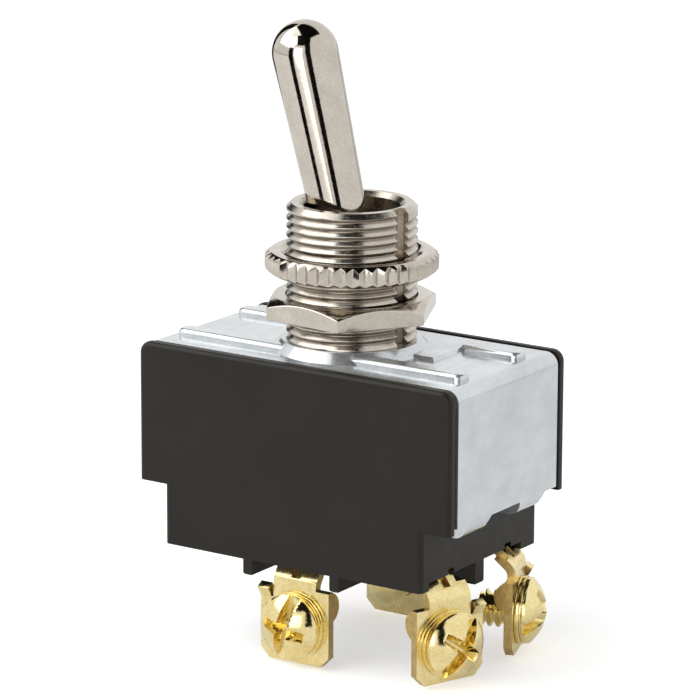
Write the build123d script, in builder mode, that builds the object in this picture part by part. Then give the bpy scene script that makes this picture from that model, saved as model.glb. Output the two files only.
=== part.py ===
from build123d import *
from collections import namedtuple
import math
import os

os.makedirs("parts", exist_ok=True)

# Two-pole panel toggle switch, in millimetres. +Z runs up the bushing's axis, +X points to the end with
# the terminals, and -Y to the front long side. z = 0 is the hex nut's top face, where a panel seats.

# Bushing, 15/32 in thread with 32 threads to the inch
thread_d = 11.906
bushing_above_seat = 8.45
rim_chamfer = 0.45
mouth_d = 8.8
throat_d = 6.3
throat_rise = 2.7
spigot_d = 9.9
rivet_d = 11.5
rivet_t = 0.5
fit_clearance = 0.03
keyway_w = 1.5
keyway_depth = 0.95
keyway_angle = -6.0

# Nuts
hex_across_flats = 14.3
hex_t = 1.8
hex_turn = -5.2
hex_top_d = 13.94
hex_chamfer_angle = 30.0
knurl_d = 15.8
knurl_t = 2.0
knurl_teeth = 42
knurl_depth = 0.45
knurl_chamfer = 0.6
knurl_chamfer_h = 0.45
knurl_recess = 0.6
panel_gap = 2.05
thread_clearance = 0.05

# Case
case_l = 33.6
case_w = 19.5
upper_h = 13.05
end_step = 2.85
case_h = 18.7
cheek_t = 1.0
seat_to_case = 4.85
end_wall_t = 1.5
floor_t = 2.2
cheek_corner_r = 1.1
case_edge_r = 0.15
case_corner_r = 0.5
partition_t = 1.2
partition_h = 7.2
rib_t = 1.0
rib_h = 1.5
cross_rib_x = 4.7
divider_t = 1.4
rib_edge_r = 0.3
slot_clearance = 0.1
jog_relief = 0.85
sill_h = 0.7
sill_front_foot = 1.3
sill_rear_foot = 2.7
stop_post_l = 1.6
stop_post_w = 3.0
stop_post_in = 1.2
stop_gap = 0.1

# Frame, one folded and embossed steel sheet
sheet_t = 0.8
plate_inset = 0.1
side_gap = 0.4
frame_clearance = 0.05
bend_r = 0.4
flange_h = 12.5
tab_w = 3.7
tab_front_y = -5.15
tab_rear_y = 3.95
tab_fold = 1.7
tab_flare = 0.6
boss_top_d = 12.8
boss_base_d = 14.4
boss_h = 0.9
bead_y = 4.75
bead_w = 1.9
bead_h = 0.65
bead_top_r = 0.45
bead_groove_r = 0.5
bead_left_x = 15.6
bead_right_x = 15.4
short_bead_x = 8.9
step_h = 0.3
step_slope = 45.0
step_edge_x = 9.3
step_front_y = -0.7

# Insulating liner under the frame
liner_t = 0.4
liner_window_l = 11.0
liner_edge = 0.85

# Lever, measured along its axis from the pivot
lean = 14.5
pivot_below_rim = 6.9
ball_d = 7.2
neck_d = 3.8
neck_end = 7.2
cone_end = 8.0
bat_root_d = 5.3
bat_tip_d = 6.05
bat_end = 20.55
stem_d = 3.0
stem_end = 12.0
stem_lead = 0.4
ball_clearance = 0.05
pin_d = 1.8
pin_reach = 0.8

# Actuator, plungers and springs, measured down the stem from the pivot
actuator_top = 8.7
actuator_end = 15.0
actuator_l = 5.2
actuator_w = 13.4
actuator_edge_r = 0.6
pole_y = 4.8
plunger_d = 2.9
plunger_clearance = 0.05
plunger_bore_h = 5.2
plunger_top = 11.6
plunger_tip = 17.2
plunger_tip_t = 1.6
spring_bore_d = 2.0
spring_wire_d = 0.35
spring_turns = 4
spring_clearance = 0.1

# Contact arms, rocking on the centre terminals' knife edges
rock = 7.0
arm_w = 4.2
arm_t = 0.8
arm_clearance = 0.12
knife_below_arm = 1.3
trough_half_angle = 33.0
arm_bend_r = 1.0
arm_past_contact = 1.4
short_arm_reach = 9.8
ear_t = 0.7
ear_drop = 1.1
ear_half_l = 1.9
ear_rise = 1.0
notch_flare = 15.0
knife_t = 0.8
knife_clearance = 0.05
knife_end_y = 2.5

# Contact rivets
contact_d = 3.0
contact_t = 0.6
contact_dome = 0.3
contact_gap = 0.03
fixed_contact_t = 0.7
fixed_contact_in = 1.7
rivet_shank_d = 1.6
rivet_tail_d = 2.2
rivet_tail_t = 0.3

# Terminals, stamped from brass sheet
terminal_t = 0.8
terminal_plate_w = 7.4
plate_top = 2.0
plate_bottom = 9.05
plate_chamfer = 0.95
neck_w = 4.6
neck_top = 0.2
terminal_bend_r = 0.8
jog_bend_r = 1.2
shelf_l = 4.0
blade_lift = 0.3
lug_w = 1.2
lug_h = 1.2
lug_lift = 30.0
wing_w = 2.8
wing_h = 0.9
lance_w = 1.0
lance_l = 1.1
lance_depth = 0.5
centre_terminal_in = 0.65
centre_jog = 0.8
centre_jog_start = 0.35
centre_jog_end = 1.5
centre_tongue_shift = 0.95
centre_tongue_w = 2.7
end_terminal_out = 0.7
end_terminal_y = 6.0
end_facing = 20.0
end_jog = 1.75
end_jog_start = -0.45
end_jog_end = 1.2
end_tongue_shift = 0.4
end_tongue_w = 3.4
end_rise = 0.15

# Terminal screws, number 6 with 32 threads to the inch, with slotted cross-recess heads
screw_d = 3.5
screw_drop = 5.5
screw_l = 3.7
screw_point = 0.3
head_d = 6.3
collar_t = 0.4
groove_t = 0.15
groove_depth = 0.3
head_rim = 0.95
head_rim_inset = 0.1
head_dome = 1.0
slot_w = 1.15
slot_depth = 1.25
cross_l = 4.5
cross_depth = 1.7
cross_taper = 15.0

# Each terminal: the middle of its plate's front face, the way it faces, its height over the case's bottom,
# the depth, start and end of its neck's jog, the shift and width of its tongue inside the case, the side
# of its wire lug, and its screw's turn
Terminal = namedtuple("Terminal", "x y facing rise jog jog_start jog_end shift tongue_w lug_side screw_turn")
lower_l = case_l - 2 * end_step
centre_terminal_y = case_w / 2 - centre_terminal_in
end_terminal_x = lower_l / 2 + end_terminal_out
terminals = {}
for pole, side, centre_turn, end_turn in (("front", -1, 77, 55), ("rear", 1, 130, 20)):
    terminals[f"centre_{pole}"] = Terminal(0, side * centre_terminal_y, side * 90, 0, centre_jog,
                                           centre_jog_start, centre_jog_end, side * centre_tongue_shift,
                                           centre_tongue_w, -1, centre_turn)
    terminals[f"end_{pole}"] = Terminal(end_terminal_x, side * end_terminal_y, side * end_facing, end_rise,
                                        end_jog, end_jog_start, end_jog_end, side * end_tongue_shift,
                                        end_tongue_w, 1, end_turn)
poles = {"front": -pole_y, "rear": pole_y}

# Levels and places worked out from the sizes above
case_top_z = -seat_to_case
plate_z = case_top_z - plate_inset
boss_z = plate_z + boss_h
step_z = case_top_z - upper_h
bottom_z = case_top_z - case_h
floor_z = bottom_z + floor_t
liner_z = plate_z - sheet_t - liner_t
cavity_w = case_w - 2 * cheek_t
cavity_l = lower_l - 2 * end_wall_t
frame_w = cavity_w - 2 * side_gap
end_face_x = case_l / 2 - sheet_t - frame_clearance
boss_slope = math.degrees(math.atan((boss_base_d - boss_top_d) / 2 / boss_h))
thread_r = thread_d / 2
socket_r = ball_d / 2 + ball_clearance
pivot_z = bushing_above_seat - pivot_below_rim
sin_lean = math.sin(math.radians(lean))
cos_lean = math.cos(math.radians(lean))
sin_rock = math.sin(math.radians(rock))
cos_rock = math.cos(math.radians(rock))
pivot = Vector(0, 0, pivot_z)
lever_up = Vector(-sin_lean, 0, cos_lean)
lever_side = Vector(cos_lean, 0, sin_lean)

# The trough's radius follows the path of the plunger's round nose, seen from the rocking arm
nose_r = plunger_d / 2
nose_s = plunger_tip - nose_r
knife_z = pivot_z - plunger_tip - arm_clearance - knife_below_arm
nose_x = nose_s * sin_lean
nose_rise = pivot_z - nose_s * cos_lean - knife_z
path_x = nose_x * cos_rock - nose_rise * sin_rock
path_rise = nose_x * sin_rock + nose_rise * cos_rock - (pivot_z - nose_s - knife_z)
trough_r = (path_x ** 2 + path_rise ** 2) / (2 * path_rise) + nose_r + arm_clearance
trough_centre = knife_below_arm + trough_r
cos_trough = math.cos(math.radians(trough_half_angle))
arm_level = trough_centre - (trough_r + arm_t / 2) * cos_trough + arm_bend_r * (1 - cos_trough)

# The moving contacts stand over the fixed ones, whose level follows from where the domes come down
dome_r = (contact_d ** 2 / 4 + contact_dome ** 2) / (2 * contact_dome)
dome_centre = arm_level - arm_t / 2 - contact_t + dome_r
fixed_contact_back = end_jog + terminal_t / 2 + fixed_contact_in
fixed_contact_x = (end_terminal_x - math.cos(math.radians(end_facing)) * fixed_contact_back
                   - math.sin(math.radians(end_facing)) * end_tongue_shift)
contact_x = (fixed_contact_x - dome_centre * sin_rock) / cos_rock
contact_z = knife_z - contact_x * sin_rock + dome_centre * cos_rock - dome_r - contact_gap
shelf_z = contact_z - fixed_contact_t


def outward(angle):
    """A level direction, turned by the angle from +X towards +Y."""
    return Vector(math.cos(math.radians(angle)), math.sin(math.radians(angle)), 0)


def down_the_stem(s, y=0):
    """A plane square to the lever, s below its pivot and y to the side, facing down the stem."""
    return Plane(origin=pivot - lever_up * s + Vector(0, y, 0), x_dir=lever_side, z_dir=-lever_up)


def lever_section(y=0):
    """The upright plane through the lever's axis, or beside it, with its height along the lever."""
    return Plane(origin=pivot + Vector(0, y, 0), x_dir=lever_side, z_dir=(0, -1, 0))


def arm_section(y, x=0, height=0, facing=-1):
    """The contact arm's upright plane at rest, from its knife edge, facing the front or the rear."""
    along = Vector(cos_rock, 0, -sin_rock)
    upward = Vector(sin_rock, 0, cos_rock)
    return Plane(origin=Vector(0, y, knife_z) + along * x + upward * height, x_dir=along, z_dir=(0, facing, 0))


def terminal_side(t, across=0):
    """A terminal's upright section, with x out of its front face and y up from the case's bottom."""
    origin = Vector(t.x, t.y, bottom_z + t.rise) + outward(t.facing + 90) * across
    return Plane(origin=origin, x_dir=outward(t.facing), z_dir=-outward(t.facing + 90))


def terminal_face(t, out=0, height=0):
    """The plane of a terminal's front face, with x across it and y up from the case's bottom."""
    origin = Vector(t.x, t.y, bottom_z + t.rise + height) + outward(t.facing) * out
    return Plane(origin=origin, x_dir=outward(t.facing + 90), z_dir=outward(t.facing))


def terminal_plan(t, z, behind=0, shift=0):
    """A level plane with x the way a terminal faces, placed behind its front face and shifted along it."""
    origin = Vector(t.x, t.y, z) - outward(t.facing) * behind + outward(t.facing + 90) * shift
    return Plane(origin=origin, x_dir=outward(t.facing), z_dir=(0, 0, 1))


def contact_rivet(seat, face_t, dome, carrier_t):
    """A contact rivet on a plane whose origin is the seat's middle and whose y leaves the carrier."""
    head_r = contact_d / 2
    shank_r = rivet_shank_d / 2
    tail_z = -carrier_t - fit_clearance
    with BuildPart() as rivet:
        with BuildSketch(seat):
            with BuildLine():
                outline = Polyline((0, tail_z - rivet_tail_t), (rivet_tail_d / 2, tail_z - rivet_tail_t),
                                   (rivet_tail_d / 2, tail_z), (shank_r, tail_z), (shank_r, fit_clearance),
                                   (head_r, fit_clearance), (head_r, face_t - dome))
                if dome:
                    RadiusArc(outline @ 1, (0, face_t), -dome_r)
                else:
                    Line(outline @ 1, (0, face_t))
                Line((0, face_t), outline @ 0)
            make_face()
        revolve(axis=Axis(seat.origin, seat.y_dir))
    return rivet


# Case: one moulding, a wide upper block between two cheeks and a lower block stepped in at both ends
with BuildPart() as case:
    with BuildSketch(Plane.XZ):
        with Locations((0, step_z)):
            Rectangle(case_l, upper_h, align=(Align.CENTER, Align.MIN))
        with Locations((0, bottom_z)):
            Rectangle(lower_l, case_h, align=(Align.CENTER, Align.MIN))
    extrude(amount=case_w / 2, both=True)
    fillet(case.edges().filter_by(Axis.Y).group_by(Axis.Z)[-1], cheek_corner_r)
    fillet(case.edges().filter_by(Axis.Z), case_corner_r)
    # Between the cheeks the block is lower and shorter, to take the folded frame
    with BuildSketch(Plane.XY.offset(liner_z)):
        Rectangle(case_l + 2 * sheet_t, cavity_w)
    extrude(amount=seat_to_case, mode=Mode.SUBTRACT)
    with BuildSketch(Plane.XY.offset(step_z)):
        with Locations((-end_face_x, 0), (end_face_x + 2 * sheet_t, 0)):
            Rectangle(2 * sheet_t, cavity_w, align=(Align.MAX, Align.CENTER))
    extrude(amount=upper_h, mode=Mode.SUBTRACT)
    block_edges = case.edges().filter_by(Axis.Y)
    fillet(block_edges.filter_by(lambda e: abs(abs(e.center().X) - end_face_x) < fit_clearance), bend_r)
    fillet(case.edges().filter_by(Axis.X).group_by(Axis.Z)[-1], case_edge_r)
    # Two open chambers, one for each pole, with a partition between them
    with BuildSketch(Plane.XY.offset(floor_z)):
        Rectangle(cavity_l, cavity_w)
        fillet(vertices(), case_corner_r)
    extrude(amount=case_h, mode=Mode.SUBTRACT)
    with BuildSketch(Plane.XY.offset(floor_z - floor_t / 2)):
        Rectangle(cavity_l + end_wall_t, partition_t)
    extrude(amount=partition_h + floor_t / 2)
    # Posts that stop the contact arms' short ends when the switch is off
    post_x = short_arm_reach - stop_post_in
    post_top = knife_z + (arm_level - arm_t / 2) * cos_rock - short_arm_reach * sin_rock - stop_gap
    with BuildSketch(Plane.XY.offset(floor_z - floor_t / 2)):
        with Locations((-post_x, -pole_y), (-post_x, pole_y)):
            Rectangle(stop_post_l, stop_post_w)
    extrude(amount=post_top - floor_z + floor_t / 2)
    # The end wall over the end terminals is cut back below, between two feet
    with BuildSketch(Plane.XY.offset(bottom_z)):
        with Locations((lower_l / 2, (sill_front_foot - sill_rear_foot) / 2)):
            Rectangle(2 * end_wall_t, case_w - sill_front_foot - sill_rear_foot)
    extrude(amount=sill_h, mode=Mode.SUBTRACT)
    # Barrier ribs below: two across, and one lengthwise between the poles
    with BuildSketch(Plane.XY.offset(bottom_z + floor_t / 2)):
        with Locations((-cross_rib_x, 0), (cross_rib_x, 0)):
            Rectangle(rib_t, case_w)
        Rectangle(lower_l, divider_t)
    extrude(amount=-rib_h - floor_t / 2)
    fillet(case.edges().group_by(Axis.Z)[0], rib_edge_r)
    # A slot for the tongue of each terminal, and a pocket for each end terminal's shelf
    for name, t in terminals.items():
        slot = (terminal_t + 2 * slot_clearance, t.tongue_w + 2 * slot_clearance)
        with BuildSketch(terminal_plan(t, bottom_z - sill_h, t.jog + terminal_t / 2, t.shift)):
            Rectangle(*slot)
        extrude(amount=case_h if "end" in name else floor_t + 2 * sill_h, mode=Mode.SUBTRACT)
        if "end" in name:
            # The slot's mouth is wider where the terminal bends outward
            with BuildSketch(terminal_plan(t, bottom_z - sill_h, t.jog + slot_clearance, t.shift)):
                Rectangle(jog_relief + slot_clearance, slot[1], align=(Align.MIN, Align.CENTER))
            extrude(amount=sill_h + t.rise - t.jog_start + jog_bend_r / 2, mode=Mode.SUBTRACT)
            shelf_pocket = terminal_plan(t, shelf_z - terminal_t - slot_clearance, t.jog, t.shift)
            with BuildSketch(shelf_pocket):
                Rectangle(2 * end_wall_t, slot[1], align=(Align.MAX, Align.CENTER))
            extrude(amount=case_h, mode=Mode.SUBTRACT)

# Frame: one steel sheet folded down over both ends, with two tabs at each end folded in under the step
with BuildPart() as frame:
    sheet_x = case_l / 2 - sheet_t / 2
    fold_z = step_z - frame_clearance - sheet_t / 2
    top_z = plate_z - sheet_t / 2
    with BuildSketch(Plane.XZ):
        with BuildLine():
            FilletPolyline((sheet_x - tab_fold, fold_z), (sheet_x, fold_z), (sheet_x, top_z), (-sheet_x, top_z),
                           (-sheet_x, fold_z), (tab_fold - sheet_x, fold_z), radius=bend_r + sheet_t / 2)
        trace(line_width=sheet_t)
    extrude(amount=frame_w / 2, both=True)
    # The flanges' lower edge beside the tabs, each of which flares into it on its rear side
    flange_z = plate_z - flange_h
    with BuildSketch(Plane.YZ):
        with Locations((0, flange_z)):
            Rectangle(frame_w + 2 * sheet_t, flange_h, align=(Align.CENTER, Align.MAX))
        for tab_y in (tab_front_y, tab_rear_y):
            with BuildLine():
                Polyline((tab_y - tab_w / 2, flange_z), (tab_y + tab_w / 2 + tab_flare, flange_z),
                         (tab_y + tab_w / 2, flange_z - tab_flare), (tab_y + tab_w / 2, flange_z - flange_h),
                         (tab_y - tab_w / 2, flange_z - flange_h), close=True)
            make_face(mode=Mode.SUBTRACT)
    extrude(amount=case_l, both=True, mode=Mode.SUBTRACT)
    # Raised boss round the bushing, with a shallow step running from it to the short bead
    with BuildSketch(Plane.XY.offset(plate_z)):
        Circle(boss_base_d / 2)
    extrude(amount=boss_h, taper=boss_slope)
    with BuildSketch(Plane.XY.offset(plate_z)):
        with Locations((0, (bead_y + step_front_y) / 2)):
            Rectangle(step_edge_x, bead_y - step_front_y, align=(Align.MIN, Align.CENTER))
    extrude(amount=step_h, taper=step_slope)
    # Lengthwise beads, pressed up from below, with round ends
    beads = [(-bead_left_x, 0, -bead_y), (-bead_left_x, 0, bead_y), (0, bead_right_x, -bead_y),
             (short_bead_x, bead_right_x, bead_y)]
    for start, end, y in beads:
        with BuildSketch(Plane.XY.offset(plate_z)):
            with Locations(((start + end) / 2, y)):
                SlotOverall(end - start, bead_w)
        bead = extrude(amount=bead_h, mode=Mode.PRIVATE)
        add(bead.fillet(bead_top_r, bead.edges().group_by(Axis.Z)[-1]))
        with Locations(((start + end) / 2, y, plate_z - sheet_t)):
            Cylinder(bead_groove_r, end - start - bead_w, rotation=(0, 90, 0), mode=Mode.SUBTRACT)
    with BuildSketch(Plane.XY.offset(plate_z - sheet_t)):
        Circle((boss_base_d - sheet_t) / 2)
    extrude(amount=boss_h, taper=boss_slope, mode=Mode.SUBTRACT)
    with BuildSketch(Plane.XY.offset(plate_z - sheet_t)):
        Circle(spigot_d / 2 + fit_clearance)
    extrude(amount=boss_h + 2 * sheet_t, mode=Mode.SUBTRACT)

# Fibre liner between the frame and the live parts, with a window for the actuator
with BuildPart() as insulator_liner:
    with BuildSketch(Plane.XY.offset(liner_z)):
        Rectangle(2 * (end_face_x - bend_r), frame_w)
        Rectangle(liner_window_l, frame_w - 2 * liner_edge, mode=Mode.SUBTRACT)
    extrude(amount=liner_t)

# Bushing: turned, with an hourglass bore over the ball's socket, riveted over under the frame's boss
with BuildPart() as bushing:
    seat_z = boss_z + fit_clearance
    rivet_z = boss_z - sheet_t - fit_clearance
    mouth_z = pivot_z + throat_rise + (mouth_d - throat_d) / 2
    throat_angle = math.acos(throat_d / 2 / socket_r)
    with BuildSketch(Plane.XZ):
        with BuildLine():
            bore = Polyline((socket_r, pivot_z), (socket_r, rivet_z - rivet_t), (rivet_d / 2, rivet_z - rivet_t),
                            (rivet_d / 2, rivet_z), (spigot_d / 2, rivet_z), (spigot_d / 2, seat_z),
                            (thread_r, seat_z), (thread_r, bushing_above_seat - rim_chamfer),
                            (thread_r - rim_chamfer, bushing_above_seat), (mouth_d / 2, bushing_above_seat),
                            (mouth_d / 2, mouth_z), (throat_d / 2, pivot_z + throat_rise),
                            (throat_d / 2, pivot_z + socket_r * math.sin(throat_angle)))
            CenterArc((0, pivot_z), socket_r, 0, math.degrees(throat_angle))
        make_face()
    revolve(axis=Axis.Z)
    # Slots that the cross pin runs in, open below so that the lever goes in from there
    with BuildSketch(Plane.XZ):
        with Locations((0, pivot_z)):
            Circle(pin_d / 2 + ball_clearance)
            Rectangle(pin_d + 2 * ball_clearance, 2 * socket_r + seat_to_case, align=(Align.CENTER, Align.MAX))
    extrude(amount=ball_d / 2 + pin_reach + ball_clearance, both=True, mode=Mode.SUBTRACT)
    # Keyway down the thread
    with BuildSketch(Plane(origin=(0, 0, seat_z), x_dir=outward(keyway_angle), z_dir=(0, 0, 1))):
        with Locations((thread_r - keyway_depth, 0)):
            Rectangle(2 * keyway_depth, keyway_w, align=(Align.MIN, Align.CENTER))
    extrude(amount=bushing_above_seat - seat_z, mode=Mode.SUBTRACT)

# Hex nut behind the panel, chamfered on its panel face
with BuildPart() as hex_nut:
    with BuildSketch(Plane.XY.offset(-hex_t)):
        RegularPolygon(hex_across_flats / 2, 6, major_radius=False, rotation=hex_turn)
        Circle(thread_r + thread_clearance, mode=Mode.SUBTRACT)
    extrude(amount=hex_t)
    corner_drop = (hex_across_flats - hex_top_d / 2) * math.tan(math.radians(hex_chamfer_angle))
    with BuildSketch(Plane.XZ):
        with BuildLine():
            Polyline((hex_top_d / 2, 0), (hex_across_flats, 0), (hex_across_flats, -corner_drop), close=True)
        make_face()
    revolve(axis=Axis.Z, mode=Mode.SUBTRACT)

# Knurled face nut: straight V teeth cut by its chamfers, and a recess round the thread
with BuildPart() as knurled_nut:
    knurl_r = knurl_d / 2
    knurl_top = panel_gap + knurl_t
    with BuildSketch(Plane.XY.offset(panel_gap)):
        with BuildLine():
            Polyline([outward(180 * i / knurl_teeth) * (knurl_r - knurl_depth * (i % 2))
                      for i in range(2 * knurl_teeth)], close=True)
        make_face()
        Circle(thread_r + thread_clearance, mode=Mode.SUBTRACT)
    extrude(amount=knurl_t)
    with BuildSketch(Plane.XZ):
        for z, inward in ((panel_gap, knurl_chamfer_h), (knurl_top, -knurl_chamfer_h)):
            with BuildLine():
                Polyline((knurl_r - knurl_chamfer, z), (knurl_r + knurl_chamfer, z),
                         (knurl_r + knurl_chamfer, z + 2 * inward), close=True)
            make_face()
        with BuildLine():
            Polyline((thread_r, knurl_top), (thread_r + knurl_recess, knurl_top),
                     (thread_r, knurl_top - knurl_recess), close=True)
        make_face()
    revolve(axis=Axis.Z, mode=Mode.SUBTRACT)

# Lever: one turned piece with stem, ball, waist, cone and tapering bat with a round end
with BuildPart() as lever:
    stem_r = stem_d / 2
    tip_r = bat_tip_d / 2
    ball_r = ball_d / 2
    ball_low = math.degrees(math.acos(stem_r / ball_r))
    ball_high = math.degrees(math.acos(neck_d / 2 / ball_r))
    with BuildSketch(lever_section()):
        with BuildLine():
            ball = CenterArc((0, 0), ball_r, -ball_low, ball_low + ball_high)
            stem = Polyline((0, -stem_end), (stem_r - stem_lead, -stem_end), (stem_r, -stem_end + stem_lead),
                            ball @ 0)
            bat = Polyline(ball @ 1, (neck_d / 2, neck_end), (bat_root_d / 2, cone_end), (tip_r, bat_end))
            tip = CenterArc((0, bat_end), tip_r, 0, 90)
            Line(tip @ 1, stem @ 0)
        make_face()
    revolve(axis=Axis(pivot, lever_up))
    with BuildSketch(Plane.XZ):
        with Locations((0, pivot_z)):
            Circle(pin_d / 2 + fit_clearance)
    extrude(amount=ball_d, both=True, mode=Mode.SUBTRACT)

# Cross pin through the lever's ball
with BuildPart() as pivot_pin:
    with BuildSketch(Plane.XZ):
        with Locations((0, pivot_z)):
            Circle(pin_d / 2)
    extrude(amount=ball_d / 2 + pin_reach, both=True)

# Actuator: moulded block on the stem, with a blind bore over each pole
with BuildPart() as actuator:
    with BuildSketch(down_the_stem(actuator_top)):
        Rectangle(actuator_l, actuator_w)
        fillet(vertices(), actuator_edge_r)
    extrude(amount=actuator_end - actuator_top)
    with BuildSketch(down_the_stem(actuator_top)):
        Circle(stem_d / 2 + fit_clearance)
    extrude(amount=stem_end - actuator_top + fit_clearance, mode=Mode.SUBTRACT)
    with BuildSketch(down_the_stem(actuator_end)):
        with Locations(*[(0, y) for y in poles.values()]):
            Circle(plunger_d / 2 + plunger_clearance)
    extrude(amount=-plunger_bore_h, mode=Mode.SUBTRACT)

# Round-nosed plungers in the actuator's bores, hollow for their springs
plungers = {}
springs = {}
for pole, y in poles.items():
    with BuildPart() as plunger:
        with BuildSketch(lever_section(y)):
            with BuildLine():
                nose = CenterArc((0, -nose_s), nose_r, -90, 90)
                Polyline(nose @ 1, (nose_r, -plunger_top), (spring_bore_d / 2, -plunger_top),
                         (spring_bore_d / 2, plunger_tip_t - plunger_tip), (0, plunger_tip_t - plunger_tip), nose @ 0)
            make_face()
        revolve(axis=Axis(pivot + Vector(0, y, 0), lever_up))
    plungers[pole] = plunger
    # Coil spring between the top of the bore and the bottom of the hollow
    coil_r = spring_bore_d / 2 - spring_clearance - spring_wire_d / 2
    coil_start = plunger_tip - plunger_tip_t - spring_clearance - spring_wire_d / 2
    coil_end = actuator_end - plunger_bore_h + spring_clearance + spring_wire_d / 2
    with BuildPart() as spring:
        with BuildLine():
            coil = Helix((coil_start - coil_end) / spring_turns, coil_start - coil_end, coil_r,
                         center=pivot - lever_up * coil_start + Vector(0, y, 0), direction=lever_up)
        with BuildSketch(Plane(origin=coil @ 0, z_dir=coil % 0)):
            Circle(spring_wire_d / 2)
        sweep(is_frenet=True)
    springs[pole] = spring

# Contact arms: bent strips with a trough for the plunger and two notched ears that rock on a knife edge
contact_arms = {}
for pole, y in poles.items():
    with BuildPart() as contact_arm:
        with BuildSketch(arm_section(y)):
            with BuildLine():
                trough = CenterArc((0, trough_centre), trough_r + arm_t / 2, 270 - trough_half_angle,
                                   2 * trough_half_angle)
                right_bend = JernArc(trough @ 1, trough % 1, arm_bend_r, -trough_half_angle)
                left_bend = JernArc(trough @ 0, (trough % 0) * -1, arm_bend_r, trough_half_angle)
                Line(right_bend @ 1, (contact_x + arm_past_contact, arm_level))
                Line(left_bend @ 1, (-short_arm_reach, arm_level))
            trace(line_width=arm_t)
        extrude(amount=arm_w / 2, both=True)
        notch_r = knife_t / 2 + knife_clearance
        notch_lip = notch_r + ear_drop * math.tan(math.radians(notch_flare))
        for edge in (-1, 1):
            with BuildSketch(arm_section(y + edge * (arm_w - ear_t) / 2)):
                with Locations((0, -ear_drop)):
                    Rectangle(2 * ear_half_l, ear_drop + ear_rise, align=(Align.CENTER, Align.MIN))
                Circle(notch_r, mode=Mode.SUBTRACT)
                with BuildLine():
                    Polyline((-notch_r, 0), (notch_r, 0), (notch_lip, -ear_drop), (-notch_lip, -ear_drop),
                             close=True)
                make_face(mode=Mode.SUBTRACT)
            extrude(amount=ear_t / 2, both=True)
        with BuildSketch(Plane(origin=arm_section(y, contact_x, arm_level).origin, z_dir=(sin_rock, 0, cos_rock))):
            Circle(rivet_shank_d / 2 + fit_clearance)
        extrude(amount=arm_t, both=True, mode=Mode.SUBTRACT)
    contact_arms[pole] = contact_arm

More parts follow.
